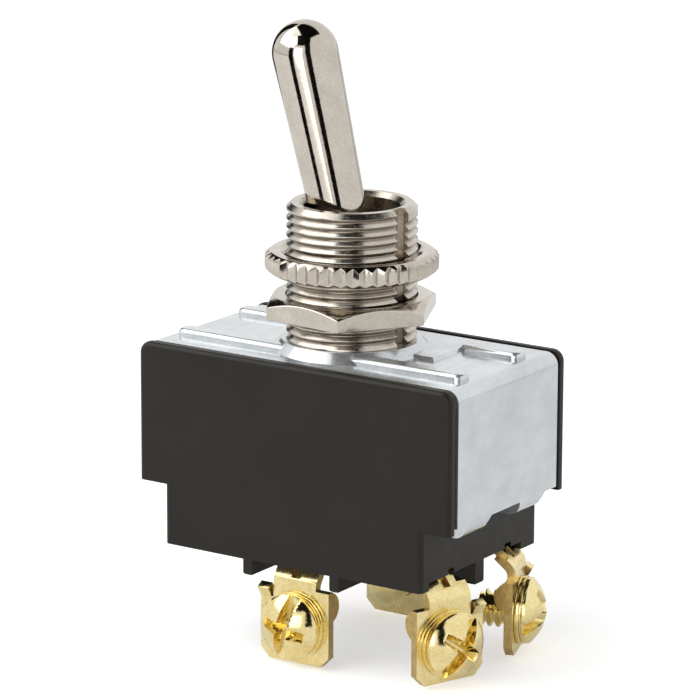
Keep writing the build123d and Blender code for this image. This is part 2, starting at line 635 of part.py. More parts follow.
# Terminals: stamped brass, jogged outward under the case, with a wire lug and a folded wing at the shoulders
terminal_parts = {}
for name, t in terminals.items():
    ends = "end" in name
    tongue_x = -terminal_t / 2 - t.jog
    blade_z = floor_z + blade_lift
    tongue_top = (shelf_z if ends else blade_z + terminal_t) - bottom_z - t.rise
    with BuildPart() as terminal:
        with BuildSketch(terminal_side(t)):
            with BuildLine():
                route = [(-terminal_t / 2, -plate_bottom), (-terminal_t / 2, -t.jog_end),
                         (tongue_x, -t.jog_start)]
                bends = [jog_bend_r, jog_bend_r]
                if ends:
                    shelf_y = tongue_top - terminal_t / 2
                    route += [(tongue_x, shelf_y), (tongue_x - shelf_l, shelf_y)]
                    bends += [terminal_bend_r]
                else:
                    route += [(tongue_x, tongue_top)]
                FilletPolyline(*route, radius=bends)
            trace(line_width=terminal_t)
        extrude(amount=terminal_plate_w / 2, both=True)
        with BuildSketch(terminal_face(t)) as face:
            with Locations((0, -plate_bottom)):
                Rectangle(terminal_plate_w, plate_bottom - plate_top, align=(Align.CENTER, Align.MIN))
            chamfer(face.vertices().group_by(Axis.Y)[0], plate_chamfer)
            with Locations((t.lug_side * terminal_plate_w / 2, -plate_top)):
                Rectangle(terminal_plate_w - neck_w, 2 * lug_h, mode=Mode.SUBTRACT)
            with Locations((0, -plate_top - lug_h)):
                Rectangle(neck_w, plate_top + lug_h - neck_top, align=(Align.CENTER, Align.MIN))
            with Locations((t.shift, -plate_top)):
                Rectangle(t.tongue_w, plate_top + tongue_top, align=(Align.CENTER, Align.MIN))
            with Locations((0, -screw_drop)):
                Circle(screw_d / 2 + thread_clearance, mode=Mode.SUBTRACT)
        extrude(amount=2 * shelf_l, both=True, mode=Mode.INTERSECT)
        # A lance struck into the middle of the jog's front
        jog_angle = math.degrees(math.atan2(t.jog, t.jog_end - t.jog_start))
        jog_face = outward(jog_angle) * terminal_t / 2
        with BuildSketch(terminal_side(t)):
            with Locations((jog_face.X - (terminal_t + t.jog) / 2, jog_face.Y - (t.jog_start + t.jog_end) / 2)):
                Rectangle(2 * lance_depth, lance_l, rotation=jog_angle)
        extrude(amount=lance_w / 2, both=True, mode=Mode.SUBTRACT)
        # The lug at one shoulder leans forward, and the wing at the other is folded back
        lug_edge = t.lug_side * terminal_plate_w / 2
        lean_x = lug_h * math.sin(math.radians(lug_lift))
        lean_y = lug_h * math.cos(math.radians(lug_lift))
        lug_foot = -plate_top - lug_h
        with BuildSketch(terminal_side(t, lug_edge)):
            with BuildLine():
                FilletPolyline((-terminal_t / 2, lug_foot - terminal_t), (-terminal_t / 2, lug_foot),
                               (lean_x - terminal_t / 2, lug_foot + lean_y), radius=terminal_bend_r)
            trace(line_width=terminal_t)
        extrude(amount=t.lug_side * lug_w)
        with BuildSketch(terminal_side(t, -lug_edge)):
            with Locations((-terminal_t / 2, -plate_top - wing_w / 2)):
                Rectangle(terminal_t, wing_w)
                Ellipse(wing_h + terminal_t / 2, wing_w / 2)
            with Locations((0, -plate_top - wing_w / 2)):
                Rectangle(terminal_t + wing_h, wing_w, align=(Align.MIN, Align.CENTER), mode=Mode.SUBTRACT)
        extrude(amount=-t.lug_side * terminal_t)
        if ends:
            shelf_middle = terminal_plan(t, shelf_z, t.jog + terminal_t / 2 + fixed_contact_in, t.shift)
            with BuildSketch(shelf_middle):
                Circle(rivet_shank_d / 2 + fit_clearance)
            extrude(amount=terminal_t, both=True, mode=Mode.SUBTRACT)
        else:
            # The tongue is folded inward over the floor into a blade with the knife edge on top
            side = math.copysign(1, t.y)
            tongue_y = t.y - side * (t.jog + terminal_t / 2)
            tongue_edge_x = -t.tongue_w + knife_t / 2
            with BuildSketch(Plane.XY.offset(blade_z)):
                with BuildLine():
                    FilletPolyline((tongue_edge_x, tongue_y), (0, tongue_y), (0, side * knife_end_y),
                                   radius=terminal_bend_r)
                trace(line_width=knife_t)
            extrude(amount=knife_z - blade_z)
            with BuildSketch(Plane.XZ.offset(-side * knife_end_y)):
                with Locations((0, knife_z)):
                    Circle(knife_t / 2)
            extrude(amount=side * (knife_end_y - abs(tongue_y) + terminal_bend_r))
    terminal_parts[name] = terminal

# Contact rivets: domed on the arms' undersides, flat on the end terminals' shelves
contacts = {}
for pole, y in poles.items():
    arm_seat = arm_section(y, contact_x, arm_level - arm_t / 2, facing=1)
    contacts[f"moving_contact_{pole}"] = contact_rivet(arm_seat, contact_t, contact_dome, arm_t)
    t = terminals[f"end_{pole}"]
    seat = terminal_plan(t, shelf_z, t.jog + terminal_t / 2 + fixed_contact_in, t.shift)
    shelf_seat = Plane(origin=seat.origin, x_dir=seat.x_dir, z_dir=-seat.y_dir)
    contacts[f"fixed_contact_{pole}"] = contact_rivet(shelf_seat, fixed_contact_t, 0, terminal_t)

# Terminal screws: domed heads on a collar, with a slot across a cross recess
screws = []
for t in terminals.values():
    head_r = head_d / 2
    rim_r = head_r - head_rim_inset
    rim_x = fit_clearance + head_rim
    groove_x = fit_clearance + collar_t
    head_top = rim_x + head_dome
    dome = (rim_r ** 2 + head_dome ** 2) / (2 * head_dome)
    screw_side = terminal_side(t)
    screw_axis = Axis(screw_side.from_local_coords((0, -screw_drop)), screw_side.x_dir)
    with BuildPart() as screw:
        with BuildSketch(screw_side):
            with BuildLine():
                shank = Polyline((-screw_l, -screw_drop), (-screw_l, screw_d / 2 - screw_point - screw_drop),
                                 (screw_point - screw_l, screw_d / 2 - screw_drop),
                                 (fit_clearance, screw_d / 2 - screw_drop), (fit_clearance, head_r - screw_drop),
                                 (groove_x, head_r - screw_drop), (groove_x, head_r - groove_depth - screw_drop),
                                 (groove_x + groove_t, head_r - groove_depth - screw_drop),
                                 (groove_x + groove_t, rim_r - screw_drop), (rim_x, rim_r - screw_drop))
                RadiusArc(shank @ 1, (head_top, -screw_drop), dome)
                Line((head_top, -screw_drop), shank @ 0)
            make_face()
        revolve(axis=screw_axis)
        with BuildSketch(terminal_face(t, head_top, -screw_drop)):
            Rectangle(head_d + head_dome, slot_w, rotation=t.screw_turn)
        extrude(amount=-slot_depth, mode=Mode.SUBTRACT)
        with BuildSketch(terminal_face(t, head_top, -screw_drop)):
            Rectangle(cross_l, slot_w, rotation=t.screw_turn)
            Rectangle(slot_w, cross_l, rotation=t.screw_turn)
        extrude(amount=-cross_depth, taper=cross_taper, mode=Mode.SUBTRACT)
    screws.append(screw.part)
terminal_screws = Compound(children=screws)

pieces = {"case": case.part, "frame": frame.part, "insulator_liner": insulator_liner.part,
          "bushing": bushing.part, "hex_nut": hex_nut.part, "knurled_nut": knurled_nut.part,
          "lever": lever.part, "pivot_pin": pivot_pin.part, "actuator": actuator.part,
          "terminal_screws": terminal_screws}
for pole in poles:
    pieces[f"plunger_{pole}"] = plungers[pole].part
    pieces[f"plunger_spring_{pole}"] = springs[pole].part
    pieces[f"contact_arm_{pole}"] = contact_arms[pole].part
for name, terminal in terminal_parts.items():
    pieces[f"terminal_{name}"] = terminal.part
for name, rivet in contacts.items():
    pieces[name] = rivet.part
for name, piece in pieces.items():
    piece.label = name
    export_step(piece, f"parts/{name}.step")
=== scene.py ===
import math

import bpy
from mathutils import Matrix, Vector


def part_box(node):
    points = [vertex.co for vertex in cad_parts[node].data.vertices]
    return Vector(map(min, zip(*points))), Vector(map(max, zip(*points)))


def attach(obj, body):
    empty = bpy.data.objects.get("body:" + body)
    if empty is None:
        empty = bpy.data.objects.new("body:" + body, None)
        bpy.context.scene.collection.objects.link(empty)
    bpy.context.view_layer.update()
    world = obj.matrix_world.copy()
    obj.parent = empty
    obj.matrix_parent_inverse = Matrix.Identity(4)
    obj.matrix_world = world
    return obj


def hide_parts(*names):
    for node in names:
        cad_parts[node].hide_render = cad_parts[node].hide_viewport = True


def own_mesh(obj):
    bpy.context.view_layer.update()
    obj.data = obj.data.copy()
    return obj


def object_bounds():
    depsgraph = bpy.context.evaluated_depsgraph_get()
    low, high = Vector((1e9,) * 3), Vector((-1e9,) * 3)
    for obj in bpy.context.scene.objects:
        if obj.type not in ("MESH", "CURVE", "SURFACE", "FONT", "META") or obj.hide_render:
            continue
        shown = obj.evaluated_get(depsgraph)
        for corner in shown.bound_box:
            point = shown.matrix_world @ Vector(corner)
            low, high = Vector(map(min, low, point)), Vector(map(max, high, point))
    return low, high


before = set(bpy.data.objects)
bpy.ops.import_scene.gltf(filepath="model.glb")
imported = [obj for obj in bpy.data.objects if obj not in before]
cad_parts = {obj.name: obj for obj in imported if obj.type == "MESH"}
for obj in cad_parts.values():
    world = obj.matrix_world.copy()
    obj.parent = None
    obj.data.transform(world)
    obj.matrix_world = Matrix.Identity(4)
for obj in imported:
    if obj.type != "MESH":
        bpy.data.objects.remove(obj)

cad_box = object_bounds()
MM = 0.001


# The case is one phenolic moulding, black all through, with a satin skin from its polished mould.
# Its upper block stands between two cheeks that the steel frame drops into.
CASE_BLACK = (0.0118, 0.0096, 0.0062)
CASE_PALE = (0.0168, 0.0138, 0.0096)
CASE_EDGE = 0.12 * MM
SAME_POINT = 0.0005 * MM
SAME_FACE_ANGLE = 0.2
ROUNDED_ANGLE = 35.0
SMOOTH_ANGLE = 32.0
LARGEST_FACES_ONLY = 100
NOISE_DETAIL = 5.0
NOISE_ROUGHNESS = 0.6
NOISE_LOW = 0.3
NOISE_HIGH = 0.7


def start_from(node, name):
    """A new piece that begins as the CAD piece, with its loose triangles merged."""
    bpy.ops.object.select_all(action="DESELECT")
    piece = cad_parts[node].copy()
    piece.data = piece.data.copy()
    piece.name = piece.data.name = name
    bpy.context.scene.collection.objects.link(piece)
    bpy.context.view_layer.objects.active = piece
    piece.select_set(True)
    bpy.ops.object.mode_set(mode="EDIT")
    bpy.ops.mesh.select_all(action="SELECT")
    bpy.ops.mesh.remove_doubles(threshold=SAME_POINT)
    bpy.ops.object.mode_set(mode="OBJECT")
    bpy.ops.mesh.customdata_custom_splitnormals_clear()
    return piece


def apply_modifiers(piece):
    """Applies every modifier of a piece to its mesh."""
    bpy.ops.object.select_all(action="DESELECT")
    bpy.context.view_layer.objects.active = piece
    piece.select_set(True)
    for modifier in list(piece.modifiers):
        bpy.ops.object.modifier_apply(modifier=modifier.name)


def join_flat_faces(piece):
    """Joins the triangles of each flat face of the active piece, so that edges can be rounded."""
    bpy.ops.object.mode_set(mode="EDIT")
    bpy.ops.mesh.select_all(action="SELECT")
    bpy.ops.mesh.dissolve_limited(angle_limit=math.radians(SAME_FACE_ANGLE))
    bpy.ops.object.mode_set(mode="OBJECT")


def round_edges(piece, width, angle=ROUNDED_ANGLE):
    """Rounds the piece's sharp edges a little, as moulding, stamping and plating leave them."""
    bevel = piece.modifiers.new("rounded edges", "BEVEL")
    bevel.width = width
    bevel.segments = 2
    bevel.limit_method = "ANGLE"
    bevel.angle_limit = math.radians(angle)
    bevel.harden_normals = False
    apply_modifiers(piece)


def smooth(piece, angle=SMOOTH_ANGLE):
    """Smooth shading over the curved faces, with edges sharper than the angle kept."""
    bpy.ops.object.select_all(action="DESELECT")
    bpy.context.view_layer.objects.active = piece
    piece.select_set(True)
    bpy.ops.object.shade_smooth_by_angle(angle=math.radians(angle))


def keep_flats_flat(piece):
    """Shades the large faces flat right up to their rounded edges."""
    weighted = piece.modifiers.new("weighted normals", "WEIGHTED_NORMAL")
    weighted.keep_sharp = True
    weighted.weight = LARGEST_FACES_ONLY
    apply_modifiers(piece)


def hand_over(piece, material, body, slot, *nodes):
    """Gives a finished piece its material and its body, and hides the CAD nodes it stands for. The
    slot is not used.
    """
    piece.data.materials.clear()
    piece.data.materials.append(material)
    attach(piece, body)
    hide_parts(*nodes)


def dress(node, material):
    """Gives a CAD piece that keeps its own mesh its material."""
    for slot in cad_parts[node].material_slots:
        slot.material = material


def new_group(name, inputs, outputs):
    """An empty shader node group with named inputs and outputs, and its two end nodes."""
    group = bpy.data.node_groups.new(name, "ShaderNodeTree")
    for socket, kind in inputs:
        group.interface.new_socket(socket, in_out="INPUT", socket_type=kind)
    for socket, kind in outputs:
        group.interface.new_socket(socket, in_out="OUTPUT", socket_type=kind)
    return group, group.nodes.new("NodeGroupInput"), group.nodes.new("NodeGroupOutput")


def make_uneven_group():
    """Soft noise over a surface, at a scale and stretched along an axis, between two values."""
    group, enter, leave = new_group(
        "uneven_surface",
        [("Scale", "NodeSocketFloat"), ("Stretch", "NodeSocketVector"),
         ("Low", "NodeSocketFloat"), ("High", "NodeSocketFloat")],
        [("Value", "NodeSocketFloat"), ("Height", "NodeSocketFloat")])
    nodes, links = group.nodes, group.links
    place = nodes.new("ShaderNodeTexCoord")
    stretch = nodes.new("ShaderNodeVectorMath")
    stretch.operation = "MULTIPLY"
    noise = nodes.new("ShaderNodeTexNoise")
    noise.inputs["Detail"].default_value = NOISE_DETAIL
    noise.inputs["Roughness"].default_value = NOISE_ROUGHNESS
    spread = nodes.new("ShaderNodeMapRange")
    spread.inputs["From Min"].default_value = NOISE_LOW
    spread.inputs["From Max"].default_value = NOISE_HIGH
    links.new(place.outputs["Object"], stretch.inputs[0])
    links.new(enter.outputs["Stretch"], stretch.inputs[1])
    links.new(stretch.outputs[0], noise.inputs["Vector"])
    links.new(enter.outputs["Scale"], noise.inputs["Scale"])
    links.new(noise.outputs["Fac"], spread.inputs["Value"])
    links.new(enter.outputs["Low"], spread.inputs["To Min"])
    links.new(enter.outputs["High"], spread.inputs["To Max"])
    links.new(spread.outputs["Result"], leave.inputs["Value"])
    links.new(noise.outputs["Fac"], leave.inputs["Height"])
    return group


uneven_surface = make_uneven_group()


def new_material(name, metallic=0.0):
    """A material with its Principled shader."""
    material = bpy.data.materials.new(name)
    material.use_nodes = True
    shader = material.node_tree.nodes["Principled BSDF"]
    shader.inputs["Metallic"].default_value = metallic
    return material, shader


def uneven(material, feature, low, high, stretch=(1, 1, 1)):
    """The uneven surface group in a material, with patches about as large as the feature."""
    node = material.node_tree.nodes.new("ShaderNodeGroup")
    node.node_tree = uneven_surface
    node.inputs["Scale"].default_value = 1 / feature
    node.inputs["Stretch"].default_value = stretch
    node.inputs["Low"].default_value = low
    node.inputs["High"].default_value = high
    return node


def two_colours(material, mask, first, second):
    """A mix of two colours by a mask, into the shader's base colour."""
    nodes, links = material.node_tree.nodes, material.node_tree.links
    mix = nodes.new("ShaderNodeMix")
    mix.data_type = "RGBA"
    mix.inputs["A"].default_value = (*first, 1)
    mix.inputs["B"].default_value = (*second, 1)
    links.new(mask, mix.inputs["Factor"])
    links.new(mix.outputs["Result"], nodes["Principled BSDF"].inputs["Base Color"])


def uneven_gloss(material, feature, low, high, stretch=(1, 1, 1)):
    """A roughness that wanders between two values, into the shader."""
    gloss = uneven(material, feature, low, high, stretch)
    shader = material.node_tree.nodes["Principled BSDF"]
    material.node_tree.links.new(gloss.outputs["Value"], shader.inputs["Roughness"])
    return gloss


def raised(material, height, depth):
    """A bump from a height output, into the shader's normal."""
    nodes, links = material.node_tree.nodes, material.node_tree.links
    bump = nodes.new("ShaderNodeBump")
    bump.inputs["Strength"].default_value = 1.0
    bump.inputs["Distance"].default_value = depth
    links.new(height, bump.inputs["Height"])
    links.new(bump.outputs["Normal"], nodes["Principled BSDF"].inputs["Normal"])


def make_phenolic():
    """Black phenolic: a satin skin with faint cloudy flow marks and a fine grain."""
    material, shader = new_material("black phenolic")
    shader.inputs["Specular IOR Level"].default_value = 0.29
    cloud = uneven(material, feature=6 * MM, low=0.0, high=1.0)
    two_colours(material, cloud.outputs["Value"], CASE_BLACK, CASE_PALE)
    uneven_gloss(material, feature=1.5 * MM, low=0.36, high=0.48)
    grain = uneven(material, feature=0.12 * MM, low=0.0, high=1.0)
    raised(material, grain.outputs["Height"], depth=0.004 * MM)
    return material


phenolic = make_phenolic()
case = start_from("case", "moulded_case")
join_flat_faces(case)
round_edges(case, CASE_EDGE)
smooth(case)
keep_flats_flat(case)
hand_over(case, phenolic, "housing", "phenolic", "case")


# The frame is one piece of sheet steel, embossed with beads and a boss and folded down over both
# ends, where its tabs hold the case. Its zinc plate is pale blue-grey, with streaks of the rolling.
ZINC = (0.53, 0.56, 0.58)
ZINC_PALE = (0.80, 0.825, 0.84)
STREAK_SHARE = 0.3
STAIN_SHARE = 0.45
SPECKLE_SHARE = 0.4


def make_zinc():
    """Zinc plate: long rolling streaks with soft stains and a fine speckle over them."""
    material, _ = new_material("zinc plate", metallic=0.75)
    nodes, links = material.node_tree.nodes, material.node_tree.links
    streaks = uneven(material, feature=0.5 * MM, low=0.0, high=1.0, stretch=(1, 0.08, 0.25))
    stains = uneven(material, feature=3.5 * MM, low=0.0, high=STAIN_SHARE)
    speckle = uneven(material, feature=0.16 * MM, low=0.0, high=SPECKLE_SHARE)
    with_streaks = nodes.new("ShaderNodeMath")
    with_streaks.operation = "MULTIPLY_ADD"
    with_streaks.inputs[1].default_value = STREAK_SHARE
    with_speckle = nodes.new("ShaderNodeMath")
    links.new(streaks.outputs["Value"], with_streaks.inputs[0])
    links.new(stains.outputs["Value"], with_streaks.inputs[2])
    links.new(with_streaks.outputs[0], with_speckle.inputs[0])
    links.new(speckle.outputs["Value"], with_speckle.inputs[1])
    two_colours(material, with_speckle.outputs[0], ZINC, ZINC_PALE)
    uneven_gloss(material, feature=0.4 * MM, low=0.13, high=0.24, stretch=(1, 0.1, 0.3))
    raised(material, streaks.outputs["Height"], depth=0.0012 * MM)
    return material


zinc = make_zinc()
steel_frame = start_from("frame", "folded_frame")
join_flat_faces(steel_frame)
smooth(steel_frame)
keep_flats_flat(steel_frame)
hand_over(steel_frame, zinc, "housing", "zinc_steel", "frame")


# The liner is a sheet of red-brown vulcanised fibre under the frame, cut to clear the actuator.
# It is held flat between the case and the frame.
FIBRE_DARK = (0.20, 0.055, 0.035)
FIBRE_LIGHT = (0.27, 0.08, 0.05)


def make_fibre():
    """Vulcanised fibre: a dull red-brown with paper-like mottling."""
    material, shader = new_material("vulcanised fibre")
    mottle = uneven(material, feature=0.7 * MM, low=0.0, high=1.0)
    two_colours(material, mottle.outputs["Value"], FIBRE_DARK, FIBRE_LIGHT)
    shader.inputs["Roughness"].default_value = 0.75
    raised(material, mottle.outputs["Height"], depth=0.02 * MM)
    return material


dress("insulator_liner", make_fibre())


# The bushing is turned from brass bar, threaded 32 to the inch, nickel plated, and riveted into the
# frame's boss. The thread stops short of a smooth chamfered rim, and a keyway runs down one side.
THREAD_PITCH = 25.4 / 32 * MM
THREAD_DEPTH = 0.43 * MM
THREAD_ROOT = THREAD_PITCH / 4
THREAD_FLANK = math.radians(30)
THREAD_OVERCUT = 0.05 * MM
THREAD_STEPS = 64
THREAD_SMOOTH_ANGLE = 70
BELOW_BOSS_TOP = 0.1 * MM
SMOOTH_RIM = 0.6 * MM
MOUTH_RADIUS = 4.4 * MM
MOUTH_SIDES = 128
LIP = 0.42 * MM
NICKEL = (0.45, 0.405, 0.345)
NICKEL_PALE = (0.64, 0.595, 0.525)
# The brown of the painted shade in the thread's roots.
THREAD_ROOT_PAINTED_SHADE = (0.27, 0.23, 0.19)
BRIGHT_DEPTH = 0.5 * THREAD_DEPTH
BELOW_THREAD = 1.2 * THREAD_DEPTH
KEYWAY_DEPTH = 1.3 * THREAD_DEPTH
RIM_UNSHADED = 0.5 * MM


def thread_cutter(name, radius, start, end, steps=THREAD_STEPS):
    """A helical cutter round the Z axis, whose section is the space between two turns of thread."""
    half_root = THREAD_ROOT / 2
    half_top = half_root + (THREAD_DEPTH + THREAD_OVERCUT) * math.tan(THREAD_FLANK)
    inside, outside = radius - THREAD_DEPTH, radius + THREAD_OVERCUT
    section = ((inside, -half_root), (outside, -half_top),
               (outside, half_top), (inside, half_root))
    bpy.ops.object.select_all(action="DESELECT")
    bpy.ops.mesh.primitive_circle_add(vertices=4, radius=radius)
    cutter = bpy.context.object
    cutter.name = name
    for vertex, (x, z) in zip(cutter.data.vertices, section):
        vertex.co = (x, 0, start + z)
    screw = cutter.modifiers.new("helix", "SCREW")
    screw.angle = math.tau
    screw.screw_offset = THREAD_PITCH
    screw.iterations = int((end - start) / THREAD_PITCH)
    screw.steps = screw.render_steps = steps
    screw.use_merge_vertices = False
    apply_modifiers(cutter)
    bpy.ops.object.mode_set(mode="EDIT")
    bpy.ops.mesh.select_all(action="SELECT")
    bpy.ops.mesh.fill_holes(sides=4)
    bpy.ops.mesh.select_all(action="SELECT")
    bpy.ops.mesh.normals_make_consistent(inside=False)
    bpy.ops.object.mode_set(mode="OBJECT")
    return cutter


def cut(piece, cutter):
    """Cuts a tool out of a piece and removes the tool."""
    boolean = piece.modifiers.new("cut", "BOOLEAN")
    boolean.operation = "DIFFERENCE"
    boolean.solver = "EXACT"
    boolean.object = cutter
    apply_modifiers(piece)
    bpy.data.objects.remove(cutter, do_unlink=True)


def mottled(material, broad, fine):
    """A mask of broad cloudy patches with a fine speckle over them."""
    clouds = uneven(material, feature=broad, low=0.0, high=0.5)
    speckle = uneven(material, feature=fine, low=0.0, high=0.5)
    both = material.node_tree.nodes.new("ShaderNodeMath")
    material.node_tree.links.new(clouds.outputs["Value"], both.inputs[0])
    material.node_tree.links.new(speckle.outputs["Value"], both.inputs[1])
    return both.outputs[0]


def make_nickel(name, roughness_low, roughness_high):
    """Nickel plate: warm grey, polished, with a fine barrel-finished speckle and faint wear."""
    material, _ = new_material(name, metallic=1.0)
    mask = mottled(material, broad=2.5 * MM, fine=0.22 * MM)
    two_colours(material, mask, NICKEL, NICKEL_PALE)
    gloss = uneven_gloss(material, feature=0.35 * MM, low=roughness_low, high=roughness_high)
    raised(material, gloss.outputs["Height"], depth=0.003 * MM)
    return material


def paint_shade_in_the_thread(material, crest, rim):
    """Paints shade into the plating towards the thread's roots, darkening the grooves between the
    crests.
    """
    nodes, links = material.node_tree.nodes, material.node_tree.links
    place = nodes.new("ShaderNodeTexCoord")
    flat = nodes.new("ShaderNodeVectorMath")
    flat.operation = "MULTIPLY"
    flat.inputs[1].default_value = (1, 1, 0)
    from_axis = nodes.new("ShaderNodeVectorMath")
    from_axis.operation = "LENGTH"
    below_crest = nodes.new("ShaderNodeMath")
    below_crest.operation = "SUBTRACT"
    below_crest.inputs[0].default_value = crest
    bright = nodes.new("ShaderNodeMapRange")
    bright.inputs["From Min"].default_value = THREAD_DEPTH
    bright.inputs["From Max"].default_value = BRIGHT_DEPTH
    keyway = nodes.new("ShaderNodeMath")
    keyway.operation = "LESS_THAN"
    keyway.inputs[1].default_value = crest - KEYWAY_DEPTH
    bright_or_keyway = nodes.new("ShaderNodeMath")
    bright_or_keyway.operation = "MAXIMUM"
    height = nodes.new("ShaderNodeSeparateXYZ")
    top = nodes.new("ShaderNodeMapRange")
    top.inputs["From Min"].default_value = rim - RIM_UNSHADED
    top.inputs["From Max"].default_value = rim - RIM_UNSHADED / 2
    unshaded = nodes.new("ShaderNodeMath")
    unshaded.operation = "MAXIMUM"
    links.new(place.outputs["Object"], flat.inputs[0])
    links.new(flat.outputs[0], from_axis.inputs[0])
    links.new(from_axis.outputs["Value"], below_crest.inputs[1])
    links.new(below_crest.outputs[0], bright.inputs["Value"])
    links.new(from_axis.outputs["Value"], keyway.inputs[0])
    links.new(bright.outputs["Result"], bright_or_keyway.inputs[0])
    links.new(keyway.outputs[0], bright_or_keyway.inputs[1])
    links.new(place.outputs["Object"], height.inputs[0])
    links.new(height.outputs["Z"], top.inputs["Value"])
    links.new(bright_or_keyway.outputs[0], unshaded.inputs[0])
    links.new(top.outputs["Result"], unshaded.inputs[1])
    shader = nodes["Principled BSDF"]
    plating = shader.inputs["Base Color"].links[0].from_socket
    # Painted shade: a brown mixed into the plating in the thread's roots, kept off the crests, the
    # keyway, the bore and the rim's top.
    thread_shade = nodes.new("ShaderNodeMix")
    thread_shade.data_type = "RGBA"
    thread_shade.inputs["A"].default_value = (*THREAD_ROOT_PAINTED_SHADE, 1)
    links.new(unshaded.outputs[0], thread_shade.inputs["Factor"])
    links.new(plating, thread_shade.inputs["B"])
    links.new(thread_shade.outputs["Result"], shader.inputs["Base Color"])


nickel = make_nickel("nickel plate", roughness_low=0.08, roughness_high=0.16)
thread_nickel = make_nickel("nickel plate on the thread", roughness_low=0.15, roughness_high=0.28)
bushing = start_from("bushing", "threaded_bushing")
bushing_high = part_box("bushing")[1]
thread_radius = bushing_high.y
thread_end = bushing_high.z - SMOOTH_RIM
boss_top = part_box("frame")[1].z
# The thread's roots get painted shade.
paint_shade_in_the_thread(thread_nickel, thread_radius, bushing_high.z)
cut(bushing, thread_cutter("bushing_thread_cutter", thread_radius,
                           boss_top - BELOW_BOSS_TOP, thread_end))
bpy.ops.object.select_all(action="DESELECT")
bpy.ops.mesh.primitive_cone_add(vertices=MOUTH_SIDES, radius1=MOUTH_RADIUS - LIP,
                                radius2=MOUTH_RADIUS + LIP, depth=2 * LIP,
                                location=(0, 0, bushing_high.z - LIP))
bpy.ops.object.transform_apply()
cut(bushing, bpy.context.object)
smooth(bushing)
# The thread's own edges are let go again, and only its sharpest are kept by the second smoothing.
for edge in bushing.data.edges:
    ends = [bushing.data.vertices[corner].co for corner in edge.vertices]
    on_the_thread = all(end.xy.length >= thread_radius - BELOW_THREAD and end.z <= thread_end
                        for end in ends)
    edge.use_edge_sharp = edge.use_edge_sharp and not on_the_thread
smooth(bushing, THREAD_SMOOTH_ANGLE)
hand_over(bushing, thread_nickel, "housing", "nickel", "bushing")


# The hex nut goes behind the panel. It is turned from hexagon bar, so its panel face has a chamfer
# that leaves a round flat, and its corners keep a sharp edge under the plate.
NUT_EDGE = 0.1 * MM
NUT_ROUNDED_ANGLE = 25

hex_nut = start_from("hex_nut", "backing_nut")
join_flat_faces(hex_nut)
round_edges(hex_nut, NUT_EDGE, NUT_ROUNDED_ANGLE)
smooth(hex_nut)
keep_flats_flat(hex_nut)
hand_over(hex_nut, nickel, "backing_nut", "nickel", "hex_nut")


# The face nut is a thin brass ring, straight knurled before its two edges were chamfered. It is
# plated with the same nickel.
KNURL_EDGE = 0.05 * MM
KNURL_SMOOTH_ANGLE = 25

knurled_nut = start_from("knurled_nut", "face_nut")
join_flat_faces(knurled_nut)
round_edges(knurled_nut, KNURL_EDGE, NUT_ROUNDED_ANGLE)
smooth(knurled_nut, KNURL_SMOOTH_ANGLE)
hand_over(knurled_nut, nickel, "face_nut", "nickel", "knurled_nut")


# The lever is turned in one piece, a tapering bat with a round end over a waist, a ball and a stem.
# The bat's root goes down past the bushing's rim, and the waist is hidden there.
LEVER_LEAN = math.radians(14.5)
LEVER_PIVOT = Vector((0, 0, 1.55 * MM))
LEVER_UP = Vector((-math.sin(LEVER_LEAN), 0, math.cos(LEVER_LEAN)))
WAIST_END = 7.2 * MM
ROOT_START = 8.0 * MM
ROOT_DROP = 2.0 * MM
ROOT_SLIMMER = 0.977
RING_HALF_HEIGHT = 0.02 * MM


def select_ring(piece, height):
    """Selects the lever's points at a height along its axis, and returns the ring's middle."""
    bpy.ops.object.mode_set(mode="EDIT")
    bpy.ops.mesh.select_mode(type="VERT")
    bpy.ops.mesh.select_all(action="DESELECT")
    bpy.ops.object.mode_set(mode="OBJECT")
    for vertex in piece.data.vertices:
        above = (vertex.co - LEVER_PIVOT).dot(LEVER_UP) - height
        vertex.select = abs(above) < RING_HALF_HEIGHT
    bpy.ops.object.mode_set(mode="EDIT")
    return LEVER_PIVOT + LEVER_UP * height


lever_nickel = make_nickel("polished nickel plate", roughness_low=0.05, roughness_high=0.10)
lever = start_from("lever", "bat_lever")
for height, size in ((WAIST_END, 1.0), (ROOT_START, ROOT_SLIMMER)):
    middle = select_ring(lever, height)
    bpy.ops.transform.resize(value=(size, size, size), center_override=middle)
    bpy.ops.transform.translate(value=-LEVER_UP * ROOT_DROP)
    bpy.ops.object.mode_set(mode="OBJECT")
smooth(lever)
hand_over(lever, lever_nickel, "toggle", "nickel", "lever")


# Inside the switch: a hard steel cross pin, and a coiled wire spring behind each plunger, which
# stands against the top of the actuator's bore and shortens as the plunger goes in.
STEEL = (0.42, 0.42, 0.43)
STEEL_PALE = (0.56, 0.56, 0.57)


def make_steel():
    """Bright steel wire and pin stock, with faint drawing marks."""
    material, _ = new_material("drawn steel", metallic=1.0)
    tone = uneven(material, feature=0.3 * MM, low=0.0, high=1.0)
    two_colours(material, tone.outputs["Value"], STEEL, STEEL_PALE)
    uneven_gloss(material, feature=0.2 * MM, low=0.25, high=0.4)
    return material


steel = make_steel()
dress("pivot_pin", steel)
for side in ("front", "rear"):
    spring = start_from(f"plunger_spring_{side}", f"coil_spring_{side}")
    smooth(spring)
    hand_over(spring, steel, "toggle", "steel", f"plunger_spring_{side}")
    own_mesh(spring)


# The actuator is moulded in undyed nylon, milky with a soft shine, on the foot of the lever's stem.
# Its two plungers are of the same nylon and slide in its bores.
NYLON = (0.68, 0.65, 0.57)
NYLON_PALE = (0.76, 0.73, 0.66)
NYLON_LIGHT_DEPTH = (0.6 * MM, 0.5 * MM, 0.4 * MM)


